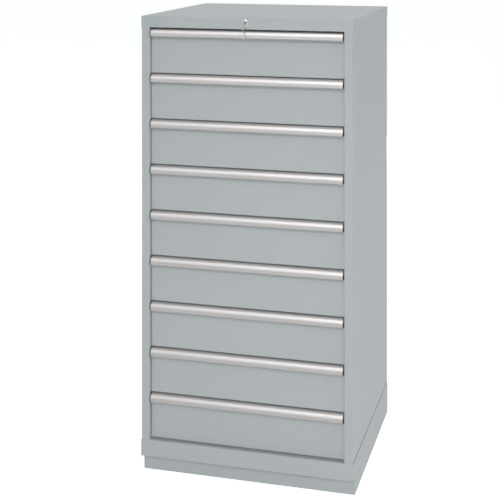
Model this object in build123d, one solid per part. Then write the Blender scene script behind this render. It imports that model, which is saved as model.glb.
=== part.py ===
from build123d import *
import os
from math import cos, radians, sin

# Steel drawer cabinet: nine equal full-extension drawers in a folded sheet housing on a lift-truck base.
# Millimetres. X runs across the width, -Y is the front, +Z is up; the origin is on the floor, mid-cabinet.

# Housing, cap and base
cabinet_width = 710.0          # across the cap and the base
cabinet_depth = 724.0          # front of the cap to the back of the cap
cap_height = 37.0              # front fascia of the cap
base_height = 109.0            # floor to the top of the base
sheet = 1.5                    # housing sheet
bend_radius = 2.0              # outside radius of a fold
seam_step = 1.0                # bottom panel stands back this far, which makes the seam line
column_width = 27.5            # front face of the housing beside the drawers
column_return = 24.5           # depth of the fold behind that face
column_tail = 20.0             # last fold, turned back towards the side wall
rear_flange = 16.0             # fold at the back of each side panel

# Base
lip_height = 55.0              # floor to the underside of the base front
toe_recess = 31.0              # toe space behind the front
base_sheet = 2.0
base_flange = 24.0             # folds along the floor and under the housing
cross_member_width = 60.0
base_gap = 0.3                 # skirts inside the front sheet

# Drawers
drawer_count = 9
drawer_pitch = 151.2
drawer_gap = 3.0               # open line between two drawer fronts
bottom_clearance = 3.0         # under the lowest front
top_clearance = 3.5            # over the highest front
front_recess = 20.0            # drawer fronts behind the front of the cabinet
front_side_gap = 1.2
front_fold = 12.0
drawer_sheet = 1.2
slide_space = 25.0             # between the opening's edge and the drawer box
box_depth = 614.0
box_lift = 10.0                # drawer floor over the front's lower edge
box_wall_top = 134.0           # top of the box walls over the front's lower edge
rim_width = 6.0
rim_drop = 5.0
box_front_offset = 13.5        # inner front wall behind the front's face

# Handles
handle_height = 26.0
handle_reach = 22.0
handle_wall = 1.8
handle_nose = 19.0             # radius of the rounded upper front
bead_height = 5.0
bead_reach = 0.6
bead_edge = 0.7
end_cap_width = 3.0
end_cap_margin = 0.4
end_cap_inset = 1.0            # front of the cap's lower edge, over the lip
end_cap_slant = 3.0            # its rear is lower than its front
end_cap_flats = 6              # short flats round the nose

# Slides
roller_radius = 11.2
roller_sides = 10
roller_width = 11.0
roller_clearance = 0.3
rail_wall = 1.5
rail_reach = 13.0              # drawer rail's flanges, out from the box wall
rail_centre = 40.0             # slide centre line over the front's lower edge
bar_gap = 1.0
bar_thickness = 3.0
bar_half_height = 10.0
bar_corner = 6.0
bar_front = -322.0
bar_rear = 268.0
inner_roller_places = (-308.0, -50.0)
outer_roller_places = (5.0, 255.0)
runner_front = -320.0
runner_rear = 340.0
standard_width = 30.0
standard_places = (-290.0, 315.0)
hook_height = 12.0
hook_reach = 4.0
hook_clearance = 0.6
standard_clearance = 1.0

# Link holes through the sides
link_hole_radius = 4.0
link_hole_places = (-245.0, 264.0)
upper_link_drop = 66.0         # under the top of the cabinet
lower_link_height = 83.0

# Lock
lock_drop = 18.0               # lock axis under the top of the cabinet
escutcheon_radius = 12.5
escutcheon_thickness = 2.0
escutcheon_edge = 1.0
barrel_radius = 9.5
barrel_length = 28.5
barrel_sides = 24
barrel_hole_clearance = 0.2
plug_radius = 7.0
plug_clearance = 0.06
nut_radius = 13.0
nut_sides = 6
nut_thickness = 3.0
cam_gap = 1.0
cam_thickness = 2.5
cam_radius = 9.0               # axis to the centre of the cam's pin
cam_boss = 5.0
pin_radius = 2.2
pin_length = 9.0
pin_boss_wall = 1.5            # metal round the pin in the cam
pin_angle = 45.0
lock_bar_thickness = 3.0
lock_bar_width = 8.0
lock_bar_gap = 2.0             # behind the cam's plate
yoke_side_clearance = 0.65
yoke_end_clearance = 0.6
arm_height = 14.0
arm_tail = 8.0                 # arm beyond the yoke
arm_wall = 3.0                 # arm under the yoke
hook_tip_gap = 2.5             # lock hook's tip outside a drawer's lug, unlocked
lug_height = 12.0
lug_centre = 78.0
lug_edge = 3.0                 # lug's tip inside the edge of the opening
lug_gap = 2.0                  # lug behind the lock hook

# Badge
badge_width = 56.0
badge_height = 25.0
badge_thickness = 1.6
badge_margin = 7.0             # from the side of the cap
badge_drop = 4.0               # under the top of the cap
badge_rim = 1.2
badge_pocket = 0.8
badge_slope = 50.0             # pocket's walls, from upright

# Keys
key_thickness = 2.0
key_bow_depth = 11.0           # along the key
key_bow_width = 15.0
key_bow_corner = 3.0
key_hole_radius = 2.2
key_hole_inset = 3.4           # hole's centre from the bow's free end
key_neck = 1.5                 # bow in front of the lock's face
key_blade = 28.0
key_blade_height = 7.0
key_bits = 4
key_bit_depth = 1.6
keyway_clearance = 0.25
ring_radius = 7.5
ring_wire = 0.6                # half the thickness of its flat wire
ring_flats = 20                # the ring is bent in short flats, one of them at the top
ring_slack = 0.25

# Worked out from the sizes above
front_y = -cabinet_depth / 2
housing_half_width = cabinet_width / 2 - sheet
housing_front = front_y + sheet
housing_rear = cabinet_depth / 2 - sheet
ledge_top = base_height + sheet
opening_half_width = housing_half_width - column_width
front_half_width = opening_half_width - front_side_gap
box_half_width = opening_half_width - slide_space
front_height = drawer_pitch - drawer_gap
front_face = front_y + front_recess
box_front = front_face + box_front_offset
box_rear = front_face + sheet + box_depth
stack_bottom = ledge_top + bottom_clearance
stack_top = stack_bottom + drawer_pitch * (drawer_count - 1) + front_height
cap_bottom = stack_top + top_clearance
cabinet_height = cap_bottom + cap_height
rail_half_height = roller_radius + roller_clearance
bar_inner = box_half_width + rail_reach + bar_gap
bar_outer = bar_inner + bar_thickness
runner_flange_edge = bar_outer + bar_gap
runner_web = bar_outer + roller_width + bar_gap + roller_clearance
runner_back = runner_web + rail_wall
side_wall_inner = housing_half_width - sheet
lock_z = cabinet_height - lock_drop
lock_face = front_y - escutcheon_thickness
barrel_end = front_y + barrel_length
cam_front = barrel_end + cam_gap
lock_bar_front = cam_front + cam_thickness + lock_bar_gap
lug_front = lock_bar_front + lock_bar_thickness + lug_gap
bow_front = lock_face - key_neck - key_bow_depth
ring_y = bow_front + key_hole_inset


def block(x, y, z):
    """A box from three pairs of limits."""
    size = [abs(b - a) for a, b in (x, y, z)]
    middle = [(a + b) / 2 for a, b in (x, y, z)]
    return Pos(*middle) * Box(*size)


def mirrored(piece):
    """The same piece on the other side of the cabinet's middle plane."""
    return mirror(piece, about=Plane.YZ)


def both_sides(piece):
    return [piece, mirrored(piece)]


def rod(radius, start, end, axis):
    """A cylinder between two points along one axis."""
    way = Vector(*end) - Vector(*start)
    return Plane(origin=start, z_dir=axis) * Cylinder(
        radius, way.length, align=(Align.CENTER, Align.CENTER, Align.MIN)
    )


def folded_sheet(points, thickness, side, radius=0.0):
    """Outline of a sheet folded along points, its thickness laid on one side; hidden folds may stay sharp."""
    path = FilletPolyline(*points, radius=radius) if radius else Polyline(*points)
    return make_face(offset(path, amount=thickness, side=side, kind=Kind.INTERSECTION, closed=True).edges())


def drawer_bottom(number):
    """Lower edge of a drawer's front; drawer 1 is at the top."""
    return stack_bottom + drawer_pitch * (drawer_count - number)


def side_panel():
    """Right side panel: one sheet folded into the wall, the front column and the rear flange."""
    column_inner = opening_half_width
    column_back = housing_front + column_return
    points = [
        (housing_half_width - rear_flange, housing_rear),
        (housing_half_width, housing_rear),
        (housing_half_width, housing_front),
        (column_inner, housing_front),
        (column_inner, column_back),
        (column_inner + column_tail, column_back),
    ]
    outline = folded_sheet(points, sheet, Side.RIGHT)
    panel = extrude(Pos(0, 0, ledge_top) * outline, cabinet_height - sheet - ledge_top)
    uprights = panel.edges().filter_by(Axis.Z)
    corners = uprights.filter_by_position(Axis.Y, housing_front - 0.1, housing_front + 0.1)
    panel = fillet(corners, bend_radius)
    hole_z = cabinet_height - upper_link_drop
    for place in link_hole_places:
        start = (housing_half_width - 2 * sheet, place, hole_z)
        end = (housing_half_width + sheet, place, hole_z)
        panel -= rod(link_hole_radius, start, end, (1, 0, 0))
    return panel


def back_panel():
    """Plain back sheet with a fold along each side, held in front of the rear flanges."""
    outer_y = housing_rear - sheet
    half = side_wall_inner - hook_clearance
    fold = rear_flange
    points = [
        (half, outer_y - fold),
        (half, outer_y),
        (-half, outer_y),
        (-half, outer_y - fold),
    ]
    outline = folded_sheet(points, sheet, Side.LEFT)
    return extrude(Pos(0, 0, ledge_top) * outline, cabinet_height - sheet - ledge_top)


def top_cap():
    """Lid with a skirt all round; its front skirt is the fascia that carries the lock."""
    half = cabinet_width / 2
    shell = block((-half, half), (front_y, -front_y), (cap_bottom, cabinet_height))
    shell = fillet(shell.edges().filter_by(Axis.Z), bend_radius)
    inside = half - sheet
    shell -= block((-inside, inside), (housing_front, housing_rear), (cap_bottom - 1, cabinet_height - sheet))
    fold = block(
        (-opening_half_width + standard_clearance, opening_half_width - standard_clearance),
        (housing_front, front_face),
        (cap_bottom, cap_bottom + sheet),
    )
    shell += fold
    hole = barrel_radius + barrel_hole_clearance
    return shell - rod(hole, (0, front_y - 1, lock_z), (0, housing_front + 1, lock_z), (0, 1, 0))


def bottom_panel():
    """Floor of the housing; its front edge is the ledge under the lowest drawer."""
    half = housing_half_width - seam_step
    return block((-half, half), (front_y + sheet / 2, housing_rear - seam_step), (base_height, ledge_top))


def base_front():
    """Front of the base: ledge fold, front face, underside, toe board and floor fold in one sheet."""
    points = [
        (front_y + front_recess, base_height),
        (front_y, base_height),
        (front_y, lip_height),
        (front_y + toe_recess, lip_height),
        (front_y + toe_recess, 0),
        (front_y + toe_recess + base_flange, 0),
    ]
    outline = folded_sheet(points, sheet, Side.LEFT, bend_radius)
    half = cabinet_width / 2
    return extrude(Plane.YZ.offset(-half) * outline, cabinet_width)


def base_frame():
    """Side and rear skirts with folds under the housing and along the floor, and a cross-member."""
    half = cabinet_width / 2
    rear = cabinet_depth / 2
    edge = sheet + base_gap
    toe = front_y + toe_recess + edge
    fold_end = toe + base_flange
    ledge_end = front_y + front_recess + base_gap
    side_outline = Polyline(
        (front_y + edge, base_height - edge),
        (front_y + edge, lip_height + edge),
        (toe, lip_height + edge),
        (toe, edge),
        (fold_end, edge),
        (fold_end, 0),
        (rear, 0),
        (rear, base_height),
        (ledge_end, base_height),
        (ledge_end, base_height - edge),
        close=True,
    )
    skirt = extrude(Plane.YZ.offset(half - base_sheet) * make_face(side_outline), base_sheet)
    for place in link_hole_places:
        skirt -= rod(
            link_hole_radius,
            (half - 2 * base_sheet, place, lower_link_height),
            (half + 1, place, lower_link_height),
            (1, 0, 0),
        )
    floor_fold = block((half - base_flange, half), (fold_end, rear), (0, base_sheet))
    upper_fold = block(
        (half - base_flange, half), (ledge_end, rear), (base_height - base_sheet, base_height)
    )
    frame = block((-half, half), (rear - base_sheet, rear), (0, base_height))
    frame += block((-half, half), (rear - base_flange, rear), (0, base_sheet))
    frame += block((-half, half), (rear - base_flange, rear), (base_height - base_sheet, base_height))
    for piece in (skirt, floor_fold, upper_fold):
        frame += both_sides(piece)
    wide = cross_member_width / 2
    member = block((-half + base_sheet, half - base_sheet), (-wide, wide), (0, base_height - base_sheet))
    member -= block((-half, half), (-wide + base_sheet, wide - base_sheet), (base_sheet, base_height))
    return frame + member


def runner_standards():
    """Four slotted uprights that carry the runners."""
    low = ledge_top + standard_clearance
    high = stack_top
    wide = standard_width / 2
    standards = []
    for place in standard_places:
        column = block((runner_back, side_wall_inner), (place - wide, place + wide), (low, high))
        column -= block(
            (runner_back + rail_wall, side_wall_inner + 1),
            (place - wide + rail_wall, place + wide - rail_wall),
            (low - 1, high + 1),
        )
        for number in range(1, drawer_count + 1):
            middle = drawer_bottom(number) + rail_centre
            half_slot = hook_height / 2 + hook_clearance
            side = rail_wall / 2 + hook_clearance
            column -= block(
                (runner_back - 1, runner_back + rail_wall + 1),
                (place - side, place + side),
                (middle - half_slot, middle + half_slot),
            )
        standards += both_sides(column)
    return standards


def runner_rails():
    """Fixed channels, open towards the drawers, hooked into the uprights."""
    rails = []
    for number in range(1, drawer_count + 1):
        middle = drawer_bottom(number) + rail_centre
        outer = rail_half_height + rail_wall
        length = (runner_front, runner_rear)
        rail = block((runner_flange_edge, runner_back), length, (middle - outer, middle + outer))
        rail -= block(
            (runner_flange_edge - 1, runner_web),
            length,
            (middle - rail_half_height, middle + rail_half_height),
        )
        for place in standard_places:
            rail += block(
                (runner_web, runner_back + hook_reach),
                (place - rail_wall / 2, place + rail_wall / 2),
                (middle - hook_height / 2, middle + hook_height / 2),
            )
        rails += both_sides(rail)
    return rails


def drawer_body(number):
    """Front pan, box with folded rims, the two side channels and the lug that the lock holds."""
    low = drawer_bottom(number)
    high = low + front_height
    face = block((-front_half_width, front_half_width), (front_face, front_face + front_fold), (low, high))
    face -= block(
        (-front_half_width + drawer_sheet, front_half_width - drawer_sheet),
        (front_face + sheet, front_face + front_fold + 1),
        (low + drawer_sheet, high - drawer_sheet),
    )
    wall_top = low + box_wall_top
    floor = low + box_lift
    outer = box_half_width
    tray = block((-outer, outer), (front_face + sheet / 2, box_rear), (floor, wall_top))
    tray -= block(
        (-outer + drawer_sheet, outer - drawer_sheet),
        (box_front + drawer_sheet, box_rear - drawer_sheet),
        (floor + drawer_sheet, wall_top + 1),
    )
    tray -= block(
        (-outer + drawer_sheet, outer - drawer_sheet),
        (front_face, box_front),
        (floor + drawer_sheet, wall_top + 1),
    )
    rim = block((outer, outer + rim_width), (lug_front, box_rear), (wall_top - drawer_sheet, wall_top))
    rim += block(
        (outer + rim_width - drawer_sheet, outer + rim_width),
        (lug_front, box_rear),
        (wall_top - rim_drop, wall_top),
    )
    middle = low + rail_centre
    channel_outer = rail_half_height + rail_wall
    for sign in (-1, 1):
        rim += block(
            (outer - drawer_sheet, outer + rail_reach),
            (lug_front, box_rear),
            (middle + sign * rail_half_height, middle + sign * channel_outer),
        )
    body = face + tray
    for piece in both_sides(rim):
        body += piece
    body += block(
        (-outer, outer), (box_rear, box_rear + rim_width), (wall_top - drawer_sheet, wall_top)
    )
    return body + block(
        (outer - drawer_sheet, opening_half_width - lug_edge),
        (lug_front, lug_front + lock_bar_thickness),
        (low + lug_centre - lug_height / 2, low + lug_centre + lug_height / 2),
    )


def handle_outer(margin):
    """Reach, top edge, nose and bend of the handle's outer line, from its top rear corner to its lip."""
    reach = handle_reach - bead_reach + margin
    top = margin
    nose = handle_nose + margin
    bend = nose * (1 - cos(radians(45)))
    return reach, top, nose, bend


def handle_profile():
    """Pull profile: back flange, flat top, rounded nose, straight lip and a bead along the lower edge."""
    reach, top, nose, bend = handle_outer(0.0)
    inner = nose - handle_wall
    inner_bend = inner * (1 - cos(radians(45)))
    inner_reach = reach - handle_wall
    lip = -handle_height
    lines = [
        Line((0, top), (reach - nose, top)),
        ThreePointArc((reach - nose, top), (reach - bend, top - bend), (reach, top - nose)),
        Line((reach, top - nose), (reach, lip + bead_height)),
        Line((reach, lip + bead_height), (reach + bead_reach, lip + bead_height - bead_reach)),
        Line((reach + bead_reach, lip + bead_height - bead_reach), (reach + bead_reach, lip + bead_edge)),
        Line((reach + bead_reach, lip + bead_edge), (reach + bead_reach - bead_edge, lip)),
        Line((reach + bead_reach - bead_edge, lip), (inner_reach + bead_edge, lip)),
        Line((inner_reach + bead_edge, lip), (inner_reach, lip + bead_edge)),
        Line((inner_reach, lip + bead_edge), (inner_reach, top - nose)),
        ThreePointArc(
            (inner_reach, top - nose),
            (inner_reach - inner_bend, top - handle_wall - inner_bend),
            (reach - nose, top - handle_wall),
        ),
        Line((reach - nose, top - handle_wall), (handle_wall, top - handle_wall)),
        Line((handle_wall, top - handle_wall), (handle_wall, lip + handle_wall)),
        Line((handle_wall, lip + handle_wall), (0, lip + handle_wall)),
        Line((0, lip + handle_wall), (0, top)),
    ]
    return make_face(Wire(lines))


def cap_profile():
    """Closed outline of an end cap, a little larger than the handle it covers."""
    reach, top, nose, bend = handle_outer(end_cap_margin)
    reach += bead_reach
    lip = -handle_height + end_cap_inset
    points = [(0, top), (0, lip - end_cap_slant), (reach, lip)]
    centre = (reach - nose, top - nose)
    for step in range(end_cap_flats + 1):
        turn = radians(90 * step / end_cap_flats)
        points.append((centre[0] + nose * cos(turn), centre[1] + nose * sin(turn)))
    return make_face(Polyline(*points, close=True))


def across(profile, number, start, length):
    """Lays a handle section on a drawer's front and runs it along the width."""
    place = Plane(
        origin=(start, front_face, drawer_bottom(number) + front_height), x_dir=(0, -1, 0), z_dir=(-1, 0, 0)
    )
    return extrude(place * profile, -length)


def drawer_handle(number):
    half = front_half_width - end_cap_width
    return across(handle_profile(), number, -half, 2 * half)


def drawer_end_caps(number):
    profile = cap_profile()
    return [
        across(profile, number, -front_half_width, end_cap_width),
        across(profile, number, front_half_width - end_cap_width, end_cap_width),
    ]


def roller(start, place, middle):
    """One roller, its rim in short flats, standing on the carriage bar."""
    rim = Plane(origin=(start, place, middle), z_dir=(1, 0, 0)) * RegularPolygon(roller_radius, roller_sides)
    return extrude(rim, roller_width)


def drawer_carriages(number):
    """Bars between the fixed runners and the drawer: rollers at the front inside, at the rear outside."""
    middle = drawer_bottom(number) + rail_centre
    heights = (middle - bar_half_height, middle + bar_half_height)
    bar = block((bar_inner, bar_outer), (bar_front, bar_rear), heights)
    bar = chamfer(bar.edges().filter_by(Axis.X), bar_corner)
    for place in inner_roller_places:
        bar += roller(bar_inner - roller_width, place, middle)
    for place in outer_roller_places:
        bar += roller(bar_outer, place, middle)
    return both_sides(bar)


def badge_plate():
    """Blank plate at the left of the fascia."""
    left = -cabinet_width / 2 + badge_margin
    high = cabinet_height - badge_drop
    depth = (front_y - badge_thickness, front_y)
    plate = block((left, left + badge_width), depth, (high - badge_height, high))
    face = plate.faces().sort_by(Axis.Y)[0]
    pocket = Plane(origin=face.center(), x_dir=(1, 0, 0), z_dir=(0, 1, 0)) * Rectangle(
        badge_width - 2 * badge_rim, badge_height - 2 * badge_rim
    )
    return plate - extrude(pocket, badge_pocket, taper=badge_slope)


def along_lock(radius, start, end):
    return rod(radius, (0, start, lock_z), (0, end, lock_z), (0, 1, 0))


def lock_body():
    """Escutcheon and barrel in one piece, with the nut that clamps it to the fascia."""
    ring = along_lock(escutcheon_radius, lock_face, front_y)
    ring = chamfer(ring.edges().group_by(Axis.Y)[0], escutcheon_edge)
    fascia_front = Plane(origin=(0, front_y, lock_z), z_dir=(0, 1, 0))
    shell = ring + extrude(fascia_front * RegularPolygon(barrel_radius, barrel_sides), barrel_length)
    shell -= along_lock(plug_radius, lock_face - 1, barrel_end + 1)
    fascia_rear = Plane(origin=(0, housing_front, lock_z), z_dir=(0, 1, 0))
    nut = extrude(fascia_rear * RegularPolygon(nut_radius, nut_sides), nut_thickness)
    bore = RegularPolygon(barrel_radius + plug_clearance, barrel_sides)
    nut -= extrude(fascia_rear * bore, nut_thickness + 1, both=True)
    return [shell, nut]


def lock_plug():
    """Turning plug with its keyway, and the cam whose pin drives the lock bar."""
    turning = along_lock(plug_radius - plug_clearance, lock_face, cam_front)
    slot = key_thickness / 2 + keyway_clearance
    slot_height = key_blade_height / 2 + keyway_clearance
    turning -= block(
        (-slot, slot),
        (lock_face - 1, lock_face - key_neck + key_blade + keyway_clearance),
        (lock_z - slot_height, lock_z + slot_height),
    )
    pin_x = cam_radius * sin(radians(pin_angle))
    pin_z = lock_z - cam_radius * cos(radians(pin_angle))
    plate_end = cam_front + cam_thickness
    arm = along_lock(cam_boss, cam_front, plate_end)
    arm += rod(pin_radius + pin_boss_wall, (pin_x, cam_front, pin_z), (pin_x, plate_end, pin_z), (0, 1, 0))
    web = Plane(origin=(0, cam_front, lock_z), x_dir=(pin_x, 0, pin_z - lock_z), z_dir=(0, 1, 0))
    strip = Pos(cam_radius / 2, 0) * Rectangle(cam_radius, 2 * (pin_radius + pin_boss_wall))
    arm += extrude(web * strip, cam_thickness)
    pin = rod(pin_radius, (pin_x, plate_end, pin_z), (pin_x, plate_end + pin_length, pin_z), (0, 1, 0))
    return turning + arm + pin


def lock_bar():
    """Cross arm with the cam's yoke, the upright under it, and a hook welded on for each drawer."""
    y = (lock_bar_front, lock_bar_front + lock_bar_thickness)
    pin_x = cam_radius * sin(radians(pin_angle))
    pin_high = lock_z - cam_radius * cos(radians(pin_angle))
    pin_low = lock_z - cam_radius
    yoke_half = pin_radius + yoke_side_clearance
    arm_low = pin_low - pin_radius - yoke_end_clearance - arm_wall
    outer = side_wall_inner - lug_gap
    inner = outer - lock_bar_width
    arm = block((pin_x - yoke_half - arm_tail, outer), y, (arm_low, arm_low + arm_height))
    arm -= block(
        (pin_x - yoke_half, pin_x + yoke_half),
        (y[0] - 1, y[1] + 1),
        (pin_low - pin_radius - yoke_end_clearance, pin_high + pin_radius + yoke_end_clearance),
    )
    lowest = drawer_bottom(drawer_count) + lug_centre - 2 * lug_height
    pieces = [arm, block((inner, outer), y, (lowest, arm_low))]
    tip = opening_half_width - lug_edge + hook_tip_gap
    for number in range(1, drawer_count + 1):
        middle = drawer_bottom(number) + lug_centre
        pieces.append(block((tip, inner), y, (middle - lug_height / 2, middle + lug_height / 2)))
    return pieces


def key_plate():
    """Flat key from its bow's free end at the origin to its tip, with bits along the blade's lower edge."""
    bow = chamfer(
        (Pos(key_bow_depth / 2, 0) * Rectangle(key_bow_depth, key_bow_width)).vertices(), key_bow_corner
    )
    tip = key_bow_depth + key_blade
    half = key_blade_height / 2
    blade = make_face(
        Polyline(
            (key_bow_depth - 1, -half),
            (key_bow_depth - 1, half),
            (tip, half),
            (tip, 0),
            (tip - half, -half),
            close=True,
        )
    )
    spacing = (key_blade - key_neck - 3 * half) / key_bits
    for bit in range(key_bits):
        middle = tip - 2 * half - spacing * bit
        edge = spacing / 2
        notch = [(middle - edge, -half), (middle, -half + key_bit_depth), (middle + edge, -half)]
        blade -= make_face(Polyline(*notch, close=True))
    return bow + blade - Pos(key_hole_inset, 0) * Circle(key_hole_radius)


def key():
    """The key in the lock: its bow stands upright in front of the plug."""
    plane = Plane(origin=(-key_thickness / 2, bow_front, lock_z), x_dir=(0, 1, 0), z_dir=(1, 0, 0))
    return extrude(plane * key_plate(), key_thickness)


def hang_points():
    """Heights of the ring's wire in the key's hole and in the spare key's, and its drop in both holes."""
    drop = key_hole_radius - ring_wire - ring_slack
    top = lock_z - drop
    return top, top - 2 * ring_radius, drop


def key_ring():
    top, low, drop = hang_points()
    turn = 180 / ring_flats
    outer = RegularPolygon(ring_radius + ring_wire, ring_flats, major_radius=False, rotation=turn)
    inner = RegularPolygon(ring_radius - ring_wire, ring_flats, major_radius=False, rotation=turn)
    middle = Plane(origin=(0, ring_y, (top + low) / 2), z_dir=(0, 1, 0))
    return extrude(middle * (outer - inner), ring_wire, both=True)


def spare_key():
    """Second key, hanging from the ring by its bow."""
    top, low, drop = hang_points()
    bow_top = low - drop + key_hole_inset
    plane = Plane(origin=(-key_thickness / 2, ring_y, bow_top), x_dir=(0, 0, -1), z_dir=(1, 0, 0))
    return extrude(plane * key_plate(), key_thickness)


def write(name, pieces):
    """Writes one node; a list is a group of separate solids."""
    shape = Compound(children=pieces) if isinstance(pieces, list) else pieces
    export_step(shape, os.path.join("parts", name + ".step"))


def main():
    os.makedirs("parts", exist_ok=True)
    right = side_panel()
    write("right_side_panel", right)
    write("left_side_panel", mirrored(right))
    write("back_panel", back_panel())
    write("top_cap", top_cap())
    write("bottom_panel", bottom_panel())
    write("base_front", base_front())
    write("base_frame", base_frame())
    write("runner_standards", runner_standards())
    write("runner_rails", runner_rails())
    for number in range(1, drawer_count + 1):
        write(f"drawer_{number}_body", drawer_body(number))
        write(f"drawer_{number}_handle", drawer_handle(number))
        write(f"drawer_{number}_end_caps", drawer_end_caps(number))
        write(f"drawer_{number}_carriages", drawer_carriages(number))
    write("badge_plate", badge_plate())
    write("lock_body", lock_body())
    write("lock_plug", lock_plug())
    write("lock_bar", lock_bar())
    write("key", key())
    write("key_ring", key_ring())
    write("spare_key", spare_key())


main()
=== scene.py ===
# Drawer cabinet: camera, light, floor, the pieces that show close up, and the finishes
import math

import bpy
import numpy as np
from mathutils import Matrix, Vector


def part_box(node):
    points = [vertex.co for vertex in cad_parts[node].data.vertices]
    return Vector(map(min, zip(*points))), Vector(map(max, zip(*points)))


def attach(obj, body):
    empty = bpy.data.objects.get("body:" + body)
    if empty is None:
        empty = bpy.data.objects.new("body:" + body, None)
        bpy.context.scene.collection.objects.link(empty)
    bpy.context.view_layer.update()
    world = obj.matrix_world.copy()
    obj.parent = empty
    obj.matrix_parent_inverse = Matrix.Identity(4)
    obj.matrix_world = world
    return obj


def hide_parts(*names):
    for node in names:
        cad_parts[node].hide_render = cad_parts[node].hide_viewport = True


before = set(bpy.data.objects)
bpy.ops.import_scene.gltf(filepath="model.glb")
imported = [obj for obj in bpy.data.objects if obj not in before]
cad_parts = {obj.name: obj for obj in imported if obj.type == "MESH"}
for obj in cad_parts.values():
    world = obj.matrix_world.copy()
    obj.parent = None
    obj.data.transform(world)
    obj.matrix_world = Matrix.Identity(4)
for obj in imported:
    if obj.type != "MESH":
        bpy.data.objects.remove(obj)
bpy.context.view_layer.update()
print("frame:", len(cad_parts), "nodes")

mm = 0.001
drawerCount = sum(name.endswith("_handle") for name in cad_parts)
drawerNumbers = range(1, drawerCount + 1)


# Camera

cameraView = {
    "place": (1.0263, -4.1184, 1.7954),  # metres, floor at 0
    "turn": 15.88,  # degrees towards -X from straight ahead
    "lens": 86.70,
    "sensor": 36.0,
    "shiftX": 0.0362,
    "shiftY": -0.6394,  # the lens is shifted down, so uprights stay parallel
    "farthest": 200.0,  # metres, past the floor's far edge
}

cameraData = bpy.data.cameras.new("camera")
cameraData.sensor_fit = "HORIZONTAL"
cameraData.sensor_width = cameraView["sensor"]
cameraData.lens = cameraView["lens"]
cameraData.shift_x = cameraView["shiftX"]
cameraData.shift_y = cameraView["shiftY"]
cameraData.clip_end = cameraView["farthest"]
camera = bpy.data.objects.new("camera", cameraData)
camera.location = cameraView["place"]
camera.rotation_euler = (math.radians(90), 0, math.radians(cameraView["turn"]))
bpy.context.scene.collection.objects.link(camera)
bpy.context.scene.camera = camera
bpy.context.scene.view_settings.view_transform = "Standard"
print("camera: set")


# Small tools for node trees

def linearColour(code):
    # sRGB hex to linear: the standard curve, straight below 0.04045 and a 2.4 power above it
    values = [int(code[i:i + 2], 16) / 255 for i in (1, 3, 5)]
    return [v / 12.92 if v <= 0.04045 else ((v + 0.055) / 1.055) ** 2.4 for v in values] + [1.0]


def addNode(tree, kind, settings=None, inputs=None):
    # one node with its settings, and a value or a link for each input, called by its name or number
    node = tree.nodes.new(kind)
    for name, value in (settings or {}).items():
        setattr(node, name, value)
    for key, value in (inputs or {}).items():
        if isinstance(value, bpy.types.NodeSocket):
            tree.links.new(value, node.inputs[key])
        else:
            node.inputs[key].default_value = value
    return node


def startMaterial(name, colour, metallic, roughness):
    # a material whose shader has these plain values
    material = bpy.data.materials.new(name)
    material.use_nodes = True
    tree = material.node_tree
    shader = tree.nodes["Principled BSDF"]
    shader.inputs["Base Color"].default_value = linearColour(colour)
    shader.inputs["Metallic"].default_value = metallic
    shader.inputs["Roughness"].default_value = roughness
    return material, tree, shader


def shiftColour(tree, shader, pattern, low, high):
    # the base colour is low where the pattern is 0 and high where it is 1
    colours = {0: pattern, 6: linearColour(low), 7: linearColour(high)}  # 6 and 7: the node's two colours
    mix = addNode(tree, "ShaderNodeMix", {"data_type": "RGBA"}, colours)
    tree.links.new(mix.outputs[2], shader.inputs["Base Color"])


def raiseSurface(tree, shader, pattern, values):
    # a shallow relief, its height in millimetres, and a strength that says how much of it is felt
    relief = {"Strength": values["strength"], "Distance": values["relief"] * mm, "Height": pattern}
    bump = addNode(tree, "ShaderNodeBump", None, relief)
    tree.links.new(bump.outputs[0], shader.inputs["Normal"])


def objectPlace(tree, scale=(1, 1, 1)):
    # the place on the piece in metres, each axis times its scale
    place = addNode(tree, "ShaderNodeTexCoord").outputs["Object"]
    return addNode(tree, "ShaderNodeMapping", None, {"Vector": place, "Scale": scale}).outputs["Vector"]


# Light and floor

studio = {
    "worldStrength": 0.38,
    "worldColour": "#F4F8FA",
    "floorColour": "#F2F2F2",
    "floorRoughness": 0.9,
    "floorLift": 0.62,  # a glow that only the eye and reflections see, so that it reads as white
    "floorReach": 45.0,  # metres from the middle to each edge
    "aim": (0.0, -0.2, 0.80),  # all lamps face this place
}

lamps = {  # places and sizes in metres, power in watts, and the kinds of ray that pass a lamp by
    # far off, high and a little to the right: a thin shadow under each pull
    "keyLamp": {"place": (2.8, -14.0, 8.8), "size": 1.0, "power": 598.0},
    "sideLamp": {"place": (5.6, -0.8, 1.2), "size": 2.6, "power": 44.0},
    # low in front: lifts the foot of the cabinet
    "fillLamp": {"place": (0.7, -3.4, 0.25), "size": 1.4, "power": 36.0, "unseenBy": ["glossy", "camera"]},
    "topLamp": {"place": (0.2, 0.3, 4.4), "size": 1.6, "power": 18.0},
    # lower than the cap, so that it lights the back panel and not the top
    "backLamp": {"place": (-1.0, 6.5, 1.1), "size": 1.6, "power": 55.0, "unseenBy": ["glossy", "camera"]},
    # high and wide, seen only in reflections: the bright band on each pull
    "reflectorCard": {"place": (0.5, -3.2, 4.5), "size": (3.0, 3.0), "power": 222.0, "unseenBy": ["diffuse"]},
}


def softLamp(name, place, size, power, unseenBy=()):
    # a lamp turned to the aim: round with one size, a rectangle with two
    lamp = bpy.data.lights.new(name, "AREA")
    if isinstance(size, tuple):
        lamp.shape = "RECTANGLE"
        lamp.size, lamp.size_y = size
    else:
        lamp.shape = "DISK"
        lamp.size = size
    lamp.energy = power
    holder = bpy.data.objects.new(name, lamp)
    holder.location = place
    way = np.array(place) - np.array(studio["aim"])
    tilt = math.atan2(math.hypot(way[0], way[1]), way[2])
    holder.rotation_euler = (tilt, 0, math.atan2(way[0], -way[1]))
    for ray in unseenBy:
        setattr(holder, "visible_" + ray, False)
    bpy.context.scene.collection.objects.link(holder)


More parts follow.
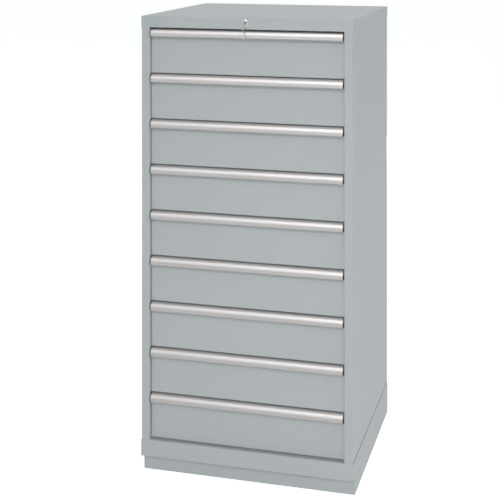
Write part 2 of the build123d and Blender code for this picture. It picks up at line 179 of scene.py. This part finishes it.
for name, values in lamps.items():
    softLamp(name, **values)


def seenDirectly(tree):
    # 1 where the camera, a mirror or glass looks straight at it
    rays = addNode(tree, "ShaderNodeLightPath").outputs
    larger = {"operation": "MAXIMUM"}
    seen = addNode(tree, "ShaderNodeMath", larger, {0: rays["Is Camera Ray"], 1: rays["Is Glossy Ray"]})
    seen = addNode(tree, "ShaderNodeMath", larger, {0: seen.outputs[0], 1: rays["Is Transmission Ray"]})
    return seen.outputs[0]


def studioWorld():
    # soft pale light from all round, and plain white where it is looked at
    world = bpy.data.worlds.new("studio")
    world.use_nodes = True
    tree = world.node_tree
    tree.nodes.clear()
    soft = {"Color": linearColour(studio["worldColour"]), "Strength": studio["worldStrength"]}
    white = {"Color": linearColour("#FFFFFF"), "Strength": 1.0}
    ambient = addNode(tree, "ShaderNodeBackground", None, soft)
    backdrop = addNode(tree, "ShaderNodeBackground", None, white)
    shares = {0: seenDirectly(tree), 1: ambient.outputs[0], 2: backdrop.outputs[0]}
    both = addNode(tree, "ShaderNodeMixShader", None, shares)
    addNode(tree, "ShaderNodeOutputWorld", None, {"Surface": both.outputs[0]})
    return world


def whitePaperFloor():
    # matt white background paper: the lift makes it white to the eye and leaves the cabinet's shadow
    colour, roughness = studio["floorColour"], studio["floorRoughness"]
    material, tree, shader = startMaterial("whitePaperFloor", colour, 0.0, roughness)
    share = {0: seenDirectly(tree), 1: studio["floorLift"]}
    lift = addNode(tree, "ShaderNodeMath", {"operation": "MULTIPLY"}, share)
    white = {"Color": linearColour("#FFFFFF"), "Strength": lift.outputs[0]}
    glow = addNode(tree, "ShaderNodeEmission", None, white)
    both = addNode(tree, "ShaderNodeAddShader", None, {0: shader.outputs[0], 1: glow.outputs[0]})
    tree.links.new(both.outputs[0], tree.nodes["Material Output"].inputs["Surface"])
    return material


bpy.context.scene.world = studioWorld()
reach = studio["floorReach"]
floorCorners = [(-reach, -reach, 0), (reach, -reach, 0), (reach, reach, 0), (-reach, reach, 0)]
floorMesh = bpy.data.meshes.new("floor")
floorMesh.from_pydata(floorCorners, [], [(0, 1, 2, 3)])
floorMesh.materials.append(whitePaperFloor())
floor = bpy.data.objects.new("floor", floorMesh)
bpy.context.scene.collection.objects.link(floor)
print("studio: floor and lamps")


# Finishes: a pattern's size is in millimetres, and 1000 over it is how often it repeats in a metre

paint = {
    "colour": "#AFB4B6",
    "darker": "#ACB1B3",
    "roughness": 0.46,
    "cloud": 250.0,  # across one faint patch of the mottle
    "peel": 2.6,  # between bumps; a real coat's are about 1 mm, drawn coarser to show
    "relief": 0.2,
    "strength": 0.10,
}


def powderCoatedSteel():
    # light grey polyester powder coat, sprayed and baked: satin, with a faint orange peel, hardly any mottle
    material, tree, shader = startMaterial("powderCoatedSteel", paint["colour"], 0.0, paint["roughness"])
    place = objectPlace(tree)
    patches = {"Vector": place, "Scale": 1000 / paint["cloud"], "Detail": 3.0}
    cloud = addNode(tree, "ShaderNodeTexNoise", None, patches)
    shiftColour(tree, shader, cloud.outputs[0], paint["darker"], paint["colour"])
    bumps = {"Vector": place, "Scale": 1000 / paint["peel"], "Detail": 1.5}
    peel = addNode(tree, "ShaderNodeTexNoise", None, bumps)
    raiseSurface(tree, shader, peel.outputs[0], paint)
    return material


anodised = {
    "colour": "#ABA9A8",
    "darker": "#A29F9E",
    "metal": 0.68,  # the oxide layer scatters the rest
    "roughness": 0.50,
    "smoother": 0.05,  # how far the roughness goes down and up from line to line
    "rougher": 0.08,
    "lines": 1.2,  # between die lines, drawn coarser than the real 0.2 mm
    "alongLine": 1.5,  # changes in a metre along one line
}


def anodisedAluminium():
    # extruded 6063, clear satin anodised: soft metal glow with die lines along the length
    colour, roughness = anodised["colour"], anodised["roughness"]
    material, tree, shader = startMaterial("anodisedAluminium", colour, anodised["metal"], roughness)
    fine = 1000 / anodised["lines"]
    place = objectPlace(tree, (anodised["alongLine"], fine, fine))
    lines = addNode(tree, "ShaderNodeTexNoise", None, {"Vector": place, "Scale": 1.0, "Detail": 2.0})
    shiftColour(tree, shader, lines.outputs[0], anodised["darker"], colour)
    limits = {"To Min": roughness - anodised["smoother"], "To Max": roughness + anodised["rougher"]}
    rough = addNode(tree, "ShaderNodeMapRange", None, {"Value": lines.outputs[0], **limits})
    tree.links.new(rough.outputs[0], shader.inputs["Roughness"])
    return material


nylon = {
    "colour": "#1B1C1E",
    "darker": "#18191B",
    "lighter": "#222326",
    "roughness": 0.55,
    "grain": 0.8,
    "relief": 0.1,
    "strength": 0.25,
}


def blackNylon():
    # moulded glass-filled nylon: near black, matt, with a fine spark-eroded grain
    material, tree, shader = startMaterial("blackNylon", nylon["colour"], 0.0, nylon["roughness"])
    fine = {"Vector": objectPlace(tree), "Scale": 1000 / nylon["grain"], "Detail": 2.0}
    grain = addNode(tree, "ShaderNodeTexNoise", None, fine)
    shiftColour(tree, shader, grain.outputs[0], nylon["darker"], nylon["lighter"])
    raiseSurface(tree, shader, grain.outputs[0], nylon)
    return material


zinc = {
    "colour": "#A9AEB2",
    "lighter": "#BFC4C8",
    "roughness": 0.38,
    "spangle": 9.0,
}


def zincPlatedStrip():
    # cold-formed strip, bright zinc plated: cool grey with a faint spangle
    material, tree, shader = startMaterial("zincPlatedStrip", zinc["colour"], 1.0, zinc["roughness"])
    cells = {"Vector": objectPlace(tree), "Scale": 1000 / zinc["spangle"]}
    spangle = addNode(tree, "ShaderNodeTexVoronoi", None, cells)
    shiftColour(tree, shader, spangle.outputs["Color"], zinc["colour"], zinc["lighter"])
    return material


acetal = {
    "colour": "#2A2B2D",
    "darker": "#262729",
    "lighter": "#303134",
    "roughness": 0.36,
    "flow": 6.0,
}


def acetalRoller():
    # moulded acetal: smooth, dark and faintly waxy
    material, tree, shader = startMaterial("acetalRoller", acetal["colour"], 0.0, acetal["roughness"])
    marks = {"Vector": objectPlace(tree), "Scale": 1000 / acetal["flow"], "Detail": 2.0}
    flow = addNode(tree, "ShaderNodeTexNoise", None, marks)
    shiftColour(tree, shader, flow.outputs[0], acetal["darker"], acetal["lighter"])
    return material


nickel = {
    "ring": ("#BDBCBA", 0.24),  # colour and roughness
    "plug": ("#7E8283", 0.42),
    "key": ("#B3B2AE", 0.32),
    "streaks": (300, 2200, 300),  # in a metre along each axis: close together from front to back
    "relief": 0.1,
    "strength": 0.08,
}


def nickelPlate(name, colour, roughness):
    # polished die-cast or stamped metal under bright nickel: faint brushed streaks
    material, tree, shader = startMaterial(name, colour, 1.0, roughness)
    place = objectPlace(tree, nickel["streaks"])
    streak = addNode(tree, "ShaderNodeTexNoise", None, {"Vector": place, "Scale": 1.0, "Detail": 2.0})
    raiseSurface(tree, shader, streak.outputs[0], nickel)
    return material


plate = {
    "colour": "#A9B2B6",
    "darker": "#A6AFB3",
    "lighter": "#ABB4B8",
    "roughness": 0.35,
    "clouds": 90.0,  # in a metre, so each is about 11 mm across
}


def blankPlate():
    # moulded polycarbonate plate: smooth satin with a very faint cloud
    material, tree, shader = startMaterial("satinPolycarbonate", plate["colour"], 0.0, plate["roughness"])
    cloud = addNode(tree, "ShaderNodeTexNoise", None, {"Vector": objectPlace(tree), "Scale": plate["clouds"]})
    shiftColour(tree, shader, cloud.outputs[0], plate["darker"], plate["lighter"])
    return material


finishes = {
    "painted": powderCoatedSteel(),
    "pull": anodisedAluminium(),
    "nylon": blackNylon(),
    "zinc": zincPlatedStrip(),
    "roller": acetalRoller(),
    "lock": nickelPlate("nickelPlatedLock", *nickel["ring"]),
    "plug": nickelPlate("dullNickelPlug", *nickel["plug"]),
    "keys": nickelPlate("nickelPlatedKey", *nickel["key"]),
    "plate": blankPlate(),
}


def finishOf(node):
    # the name of the finish that a node of the frame takes
    if node.endswith("_handle"):
        return "pull"
    if node.endswith("_end_caps"):
        return "nylon"
    if node.endswith("_carriages") or node in ("runner_rails", "runner_standards", "lock_bar"):
        return "zinc"
    if node in ("key", "key_ring", "spare_key"):
        return "keys"
    return {"lock_body": "lock", "lock_plug": "plug", "badge_plate": "plate"}.get(node, "painted")


for name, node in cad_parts.items():
    node.data.materials.clear()
    node.data.materials.append(finishes[finishOf(name)])
print("finishes: on every node")


# Tools for the new pieces: a shape is its points and its faces

def arc(start, end, steps):
    # the angles of an arc given in degrees, one more than its steps
    return np.radians(np.linspace(start, end, steps + 1))


def skinned(sections, closed=False):
    # loops of points joined one to the next; the last joins the first, or the two ends get a face each
    stations, count = sections.shape[:2]
    index = np.arange(stations * count).reshape(stations, count)
    ahead = np.roll(index, -1, 0) if closed else index[1:]
    here = index if closed else index[:-1]
    faces = np.stack((here, ahead, np.roll(ahead, -1, 1), np.roll(here, -1, 1)), -1).reshape(-1, 4).tolist()
    if not closed:
        faces += [index[0].tolist(), index[-1][::-1].tolist()]
    return facingOut(sections.reshape(-1, 3), faces)


def facingOut(points, faces):
    # the volume of the cones from the origin over all faces is negative when the faces point inwards
    fans = np.array([(face[0], b, c) for face in faces for b, c in zip(face[1:-1], face[2:])])
    first, second, third = points[fans.T]
    volume = (np.cross(second, third) * first).sum()
    return (points, faces) if volume > 0 else (points, [face[::-1] for face in faces])


def carriedAcross(outlines, places):
    # an outline of (y, z) rows for each place x along the width
    loops = [np.column_stack((np.full(len(o), x), o)) for o, x in zip(outlines, places)]
    return skinned(np.array(loops))


def turned(profile, middle, axis, sides):
    # closed (radius, place) rows turned about an axis of the frame: one profile, or one for each angle
    turn = np.linspace(0, 2 * math.pi, sides, endpoint=False)
    rows = np.broadcast_to(profile, (sides, *np.shape(profile)[-2:]))
    first, second, along = {"x": (1, 2, 0), "y": (2, 0, 1)}[axis]
    points = np.zeros((*rows.shape[:2], 3))
    points[:, :, first] = rows[:, :, 0] * np.cos(turn)[:, None] + middle[first]
    points[:, :, second] = rows[:, :, 0] * np.sin(turn)[:, None] + middle[second]
    points[:, :, along] = rows[:, :, 1] + middle[along]
    return skinned(points, closed=True)


def movedIn(outline, distance):
    # every point of a closed outline goes in along the mean of its two edges' normals
    ahead = np.roll(outline, -1, 0)
    edge = ahead - outline
    way = np.sign((outline[:, 0] * ahead[:, 1] - ahead[:, 0] * outline[:, 1]).sum())  # 1 if anticlockwise
    normal = np.column_stack((-edge[:, 1], edge[:, 0])) / np.linalg.norm(edge, axis=1)[:, None] * way
    mean = normal + np.roll(normal, 1, 0)
    least = 0.5  # keeps the point of a sharp corner from going far
    return outline + distance * mean / np.maximum((mean * mean).sum(1), least)[:, None] * 2


def joined(parts):
    # several shapes as one
    points, faces, start = [], [], 0
    for partPoints, partFaces in parts:
        points.append(partPoints)
        faces += [[i + start for i in face] for face in partFaces]
        start += len(partPoints)
    return np.vstack(points), faces


def addPiece(name, shape, finish, body, replaced=(), sharp=38):
    # the shape as a smooth mesh, with a hard edge wherever it turns by more than sharp degrees
    mesh = bpy.data.meshes.new(name)
    mesh.from_pydata(shape[0].tolist(), [], shape[1])
    mesh.update()
    mesh.polygons.foreach_set("use_smooth", np.ones(len(mesh.polygons), bool))
    mesh.set_sharp_from_angle(angle=math.radians(sharp))
    mesh.materials.append(finishes[finish])
    piece = bpy.data.objects.new(name, mesh)
    bpy.context.scene.collection.objects.link(piece)
    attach(piece, body)
    if replaced:
        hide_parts(*replaced)


# Pulls and their end caps; from here on a piece's own values are in millimetres

pull = {
    "noseRadius": 19.0,
    "noseSides": 24,
    "wall": 1.8,
    "beadHeight": 5.0,
    "beadReach": 0.6,  # in front of the lip
    "beadSides": 8,
}


def pullOutline(node):
    # section as (y, z): flat top, quarter-round nose, straight lip with a bead, and back inside one wall away
    low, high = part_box(node)
    nose, wall, bead, step = (pull[k] * mm for k in ("noseRadius", "wall", "beadHeight", "beadReach"))
    front, back, bottom, top = low.y + step, high.y, low.z, high.z
    turn = arc(90, 180, pull["noseSides"])
    quarter = np.column_stack((np.cos(turn), np.sin(turn)))
    centre = np.array((front + nose, top - nose))
    outer = centre + nose * quarter
    inner = (centre + (nose - wall) * quarter)[::-1]
    bow = arc(0, 180, pull["beadSides"])
    beadCurve = np.column_stack((front - step * np.sin(bow) ** 0.5, bottom + bead * (1 + np.cos(bow)) / 2))
    hook = [(back - wall, top - wall), (back - wall, bottom + wall), (back, bottom + wall), (back, top)]
    return np.vstack((outer, beadCurve, [(front + wall, bottom)], inner, hook))


endCap = {
    "slant": 3.0,  # its rear hangs lower than its front
    "proud": 0.4,  # how much larger its nose's radius is than the pull's
    "noseSides": 20,
    "rim": 0.6,  # radius of its moulded outer edge
    "rimSides": 4,
    "length": 3.0,
}


def endCapShape(node, side):
    # flat back and top, slanting foot, quarter-round nose; the outer edge rolls in along a quarter circle
    low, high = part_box(node)
    nose = (pull["noseRadius"] + endCap["proud"]) * mm
    turn = arc(90, 180, endCap["noseSides"])
    curve = np.column_stack((low.y + nose + nose * np.cos(turn), high.z - nose + nose * np.sin(turn)))
    foot = [(low.y, low.z + endCap["slant"] * mm), (high.y, low.z)]
    outline = np.vstack(([(high.y, high.z)], curve, foot))
    roll = arc(0, 90, endCap["rimSides"])
    rim = endCap["rim"] * mm
    places = np.concatenate(([endCap["length"] * mm], rim * (1 - np.sin(roll))))
    insets = np.concatenate(([0.0], rim * (1 - np.cos(roll))))
    outer = high.x if side > 0 else low.x
    return carriedAcross([movedIn(outline, i) for i in insets], outer - side * places)


for number in drawerNumbers:
    node, body = f"drawer_{number}_handle", f"drawer_{number}"
    low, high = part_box(node)
    bar = carriedAcross([pullOutline(node)] * 2, [low.x, high.x])
    addPiece(f"pull_{number}", bar, "pull", body, [node], sharp=25)
    node = f"drawer_{number}_end_caps"
    caps = joined([endCapShape(node, -1), endCapShape(node, 1)])
    addPiece(f"pullEnds_{number}", caps, "nylon", body, [node])
print(f"pulls: {drawerCount}, with their ends")


# Slides: the bars with their rollers

slideBar = {
    "inner": 315.0,  # its two faces, from the middle plane
    "outer": 318.0,
    "halfHeight": 10.0,
    "corner": 6.0,
    "edge": 0.5,
    "innerRollers": (-308.0, -50.0),  # places along the depth, in the drawer's channel
    "outerRollers": (5.0, 255.0),  # in the housing's channel
}

roller = {
    "radius": 11.2,
    "width": 11.0,
    "gap": 0.3,  # from the bar
    "backEdge": 0.5,
    "roundEdge": 1.2,
    "roundSides": 5,
    "rim": (3.4, 2.6),  # its breadth at the dish's floor and at its face
    "hub": (4.0, 3.6),  # its radius at the dish's floor and at its face
    "hubDrop": 0.6,  # from the rim's face to the hub's
    "dish": 2.2,  # from the rim's face to the dish's floor
    "pinhole": 0.4,  # radius of the hole on the axis
    "sides": 40,
}

axleHead = {
    "radius": 4.2,
    "height": 1.2,
    "sunk": 0.2,  # into the bar
    "domeEnd": 88,  # degrees up the dome, where the pinhole is
    "domeSides": 6,
    "pinhole": 0.1,
    "sides": 20,
}


def barShape(low, high, side):
    # flat bar with cut corners, its edges broken by a small chamfer
    middle = (low.z + high.z) / 2
    half, corner, edge = (slideBar[k] * mm for k in ("halfHeight", "corner", "edge"))
    front, back = low.y + corner, high.y - corner
    y = np.array([low.y, low.y, front, back, high.y, high.y, back, front])
    z = np.array([corner - half, half - corner, half, half, half - corner, corner - half, -half, -half])
    outline = np.column_stack((y, z + middle))
    inner, outer = slideBar["inner"] * mm, slideBar["outer"] * mm
    places = np.array([inner, inner + edge, outer - edge, outer]) * side
    return carriedAcross([movedIn(outline, i) for i in (edge, 0, 0, edge)], places)


def standingOut(rows, start, way):
    # (radius, height) rows in millimetres as (radius, x) rows in metres, the height counted from start
    return np.column_stack((rows[:, 0] * mm, start + way * rows[:, 1] * mm))


def rollerProfile():
    # rim with a round edge, a dish on the free face and a small hub, as (radius, height over the bar) rows
    radius, width, gap, pinhole = (roller[k] for k in ("radius", "width", "gap", "pinhole"))
    floor, hubFace = width - roller["dish"], width - roller["hubDrop"]
    rim, hub, edge, backEdge = (roller[k] for k in ("rim", "hub", "roundEdge", "backEdge"))
    roll = arc(90, 0, roller["roundSides"])
    hubRows = [(pinhole, gap), (pinhole, hubFace), (hub[1], hubFace), (hub[0], floor)]
    rimRows = [(radius - rim[0], floor), (radius - rim[1], width)]
    rounded = np.column_stack((radius - edge + edge * np.cos(roll), width - edge + edge * np.sin(roll)))
    backRows = [(radius, gap + backEdge), (radius - backEdge, gap)]
    return np.vstack((hubRows, rimRows, rounded, backRows))


def headProfile():
    # riveted end of the axle: a low dome, a quarter of an ellipse
    radius, sunk = axleHead["radius"], axleHead["sunk"]
    turn = arc(0, axleHead["domeEnd"], axleHead["domeSides"])
    dome = np.column_stack((radius * np.cos(turn), axleHead["height"] * np.sin(turn)))
    return np.vstack(([(axleHead["pinhole"], -sunk), (radius, -sunk)], dome))


def slideShapes(node):
    # on each side a bar with two rollers on either face, and each axle's riveted end on the face behind
    low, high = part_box(node)
    bars, rollers = [], []
    for side in (-1, 1):
        bars.append(barShape(low, high, side))
        inner, outer = side * slideBar["inner"] * mm, side * slideBar["outer"] * mm
        placed = [(place, inner, outer, -side) for place in slideBar["innerRollers"]]
        placed += [(place, outer, inner, side) for place in slideBar["outerRollers"]]
        for place, face, behind, way in placed:
            middle = (0, place * mm, (low.z + high.z) / 2)
            rollers.append(turned(standingOut(rollerProfile(), face, way), middle, "x", roller["sides"]))
            bars.append(turned(standingOut(headProfile(), behind, -way), middle, "x", axleHead["sides"]))
    return joined(bars), joined(rollers)


for number in drawerNumbers:
    node, body = f"drawer_{number}_carriages", f"carriages_{number}"
    bars, rollers = slideShapes(node)
    addPiece(f"slideBars_{number}", bars, "zinc", body, [node], sharp=30)
    addPiece(f"slideRollers_{number}", rollers, "roller", body)
print("slides: bars and rollers")


# Lock and keys

lock = {
    "plugRadius": 7.0,
    "barrelRadius": 9.5,
    "mouth": 0.5,  # broken edge round the plug
    "edge": 1.3,  # round edge of the ring
    "edgeSides": 7,
    "sides": 64,
    "fasciaSheet": 1.5,  # the nut clamps it from behind
    "nutAcross": 22.5,  # across its flats
    "nutThickness": 3.0,
    "nutSides": 60,
}


def nutShape(middle, near):
    # six flats: the radius is half the width across flats over the cosine of the angle to the nearest flat
    sixth = math.pi / 3
    turn = np.linspace(0, 2 * math.pi, lock["nutSides"], endpoint=False)
    outer = lock["nutAcross"] / 2 * mm / np.cos((turn + sixth / 2) % sixth - sixth / 2)
    inner = np.full_like(outer, lock["barrelRadius"] * mm)
    far = near + lock["nutThickness"] * mm
    corners = ((outer, near), (outer, far), (inner, far), (inner, near))
    rows = [np.column_stack((radius, np.full_like(outer, place))) for radius, place in corners]
    return turned(np.stack(rows, 1), middle, "y", lock["nutSides"])


def lockShape():
    # one profile turned about the lock's axis: the plug's hole, a round-edged ring on the fascia, the barrel
    low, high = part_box("lock_body")
    middle = (0, 0, (low.z + high.z) / 2)
    face, back, fascia = low.y, high.y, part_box("top_cap")[0].y
    radius, barrel, plug = (high.x - low.x) / 2, lock["barrelRadius"] * mm, lock["plugRadius"] * mm
    edge, mouth = lock["edge"] * mm, lock["mouth"] * mm
    roll = arc(90, 0, lock["edgeSides"])
    hole = [(plug, back), (plug, face + mouth), (plug + mouth, face)]
    rounded = np.column_stack((radius - edge + edge * np.cos(roll), face + edge - edge * np.sin(roll)))
    barrelRows = [(radius, fascia), (barrel, fascia), (barrel, back)]
    ring = turned(np.vstack((hole, rounded, barrelRows)), middle, "y", lock["sides"])
    return joined([ring, nutShape(middle, fascia + lock["fasciaSheet"] * mm)])


addPiece("lockRing", lockShape(), "lock", "housing", ["lock_body"], sharp=30)

keyCut = {
    "thickness": 2.0,
    "edge": 0.3,  # broken edges of the bow
    "bowDepth": 11.0,
    "bowWidth": 15.0,
    "bowPower": 4,  # 2 would be an ellipse, and more is squarer
    "bowSides": 48,
    "hole": 2.2,  # its radius
    "holeInset": 3.4,
    "blade": 28.0,
    "bladeHeight": 7.0,
    "bladeStations": 57,
    "overlap": 0.6,  # of the blade and the bow
    "bits": 4,
    "bitDepth": 1.6,
    "plainRoot": 5.0,  # of the blade, before the first bit
    "plainTip": 7.0,
    "grooves": ((0.30, 0.58), (0.42, 0.70)),  # one on each face, from and to, as shares of the height
    "grooveSlope": 0.06,
    "grooveDepth": 0.5,  # a share of half the thickness
}


def bowShape():
    # a rounded bow, |a|^power + |b|^power = 1, round its hole, with broken edges on both faces
    k = keyCut
    turn = np.linspace(0, 2 * math.pi, k["bowSides"], endpoint=False)
    across, up = np.cos(turn), np.sin(turn)
    wide = (np.abs(across) ** k["bowPower"] + np.abs(up) ** k["bowPower"]) ** (-1 / k["bowPower"])
    outer = np.column_stack((k["bowDepth"] / 2 * (1 + wide * across), k["bowWidth"] / 2 * wide * up))
    inner = np.column_stack((k["holeInset"] + k["hole"] * across, k["hole"] * up))
    half, edge = k["thickness"] / 2, k["edge"]
    share = edge / np.linalg.norm(outer - inner, axis=1)[:, None]  # of the way from the hole to the rim
    shares = (0, share, 1 - share, 1, 1, 1 - share, share, 0)
    heights = (half - edge, half, half, half - edge, edge - half, -half, -half, edge - half)
    loops = [(inner + (outer - inner) * s, np.full(k["bowSides"], h)) for s, h in zip(shares, heights)]
    return skinned(np.stack([np.column_stack(loop) for loop in loops], 1), closed=True)


def bladeShape():
    # a grooved bar from the bow to a tip slanted below, its foot cut in bits along a triangle wave
    k = keyCut
    half, tall = k["thickness"] / 2, k["bladeHeight"] / 2
    tip = k["bowDepth"] + k["blade"]
    length = np.linspace(k["bowDepth"] - k["overlap"], tip, k["bladeStations"])
    start = tip - k["plainTip"]
    pitch = (k["blade"] - k["plainRoot"] - k["plainTip"]) / k["bits"]
    wave = 1 - np.abs((start - length) / pitch % 1 - 0.5) * 2
    cut = k["bitDepth"] * wave * ((length < start) & (length > start - pitch * k["bits"]))
    foot = np.maximum(cut - tall, -np.minimum(tall, tip - length))[:, None]
    slope, floor = k["grooveSlope"], 1 - k["grooveDepth"]
    section = []
    for (low, high), face in zip(k["grooves"], (1, -1)):
        rows = [(0, 1), (low, 1), (low + slope, floor), (high - slope, floor), (high, 1), (1, 1)]
        section += [(height, face * side) for height, side in rows][::face]
    height, side = np.array(section).T
    blade = np.zeros((len(length), len(section), 3))
    blade[:, :, 0] = length[:, None]
    blade[:, :, 1] = foot + (tall - foot) * height
    blade[:, :, 2] = half * side
    return skinned(blade)


def placedKey(node, hanging):
    # the key in the lock points its blade along the depth; the spare hangs with its blade down
    low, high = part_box(node)
    points, faces = joined([bowShape(), bladeShape()])
    length, height, side = (points * mm).T
    if hanging:
        placed = np.column_stack((side, (low.y + high.y) / 2 + height, high.z - length))
    else:
        placed = np.column_stack((side, low.y + length, (low.z + high.z) / 2 + height))
    return facingOut(placed, faces)


addPiece("keyInLock", placedKey("key", False), "keys", "key", ["key"], sharp=30)
spareKey = placedKey("spare_key", True)
addPiece("spareKeyOnRing", spareKey, "keys", "spare_key", ["spare_key"], sharp=30)

splitRing = {
    "wire": 0.6,  # its radius
    "wireSides": 8,
    "split": 0.06,  # between the two turns
    "sides": 72,
}


def ringShape():
    # flat split ring: two turns of half-round wire side by side
    low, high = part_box("key_ring")
    middle = (0, (low.y + high.y) / 2, (low.z + high.z) / 2)
    wire, halfSplit = splitRing["wire"] * mm, splitRing["split"] / 2 * mm
    radius = (high.z - low.z) / 2 - wire
    turn = arc(0, 180, splitRing["wireSides"])
    coils = []
    for way in (-1, 1):
        rows = (radius + wire * np.cos(turn), way * (halfSplit + (wire - halfSplit) * np.sin(turn)))
        coils.append(turned(np.column_stack(rows), middle, "y", splitRing["sides"]))
    return joined(coils)


addPiece("splitRing", ringShape(), "keys", "key_ring", ["key_ring"], sharp=50)
print("lock and keys: shaped")


# Rivets that hold the back panel to the side panels' rear flanges

rivet = {
    "headRadius": 4.8,
    "headHeight": 1.3,
    "headSides": 6,
    "fall": 0.85,  # share of the height that is gone at the rim
    "dimple": 1.4,  # radius left where the mandrel broke
    "dimpleDepth": 0.7,
    "dimpleDraft": 0.2,
    "pinhole": 0.2,
    "sunk": 0.3,  # into the flange
    "fromEdge": 8.0,
    "fromEnds": 40.0,
    "rows": 7,
    "sides": 24,
}


def rivetShapes():
    # a low dome round a dimple: its height falls with the square of the radius
    r = rivet
    low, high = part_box("right_side_panel")
    radius = np.linspace(r["dimple"], r["headRadius"], r["headSides"] + 1)
    height = r["headHeight"] * (1 - r["fall"] * (radius / r["headRadius"]) ** 2)
    floor = height[0] - r["dimpleDepth"]
    dimple = [(r["pinhole"], -r["sunk"]), (r["pinhole"], floor), (r["dimple"] - r["dimpleDraft"], floor)]
    rows = np.vstack((dimple, np.column_stack((radius, height)), [(r["headRadius"], -r["sunk"])])) * mm
    across, ends = high.x - r["fromEdge"] * mm, r["fromEnds"] * mm
    up = np.linspace(low.z + ends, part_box("top_cap")[0].z - ends, r["rows"])
    return joined([turned(rows, (x, high.y, z), "y", r["sides"]) for x in (-across, across) for z in up])


addPiece("backRivets", rivetShapes(), "painted", "housing", sharp=35)
print("back: rivets")
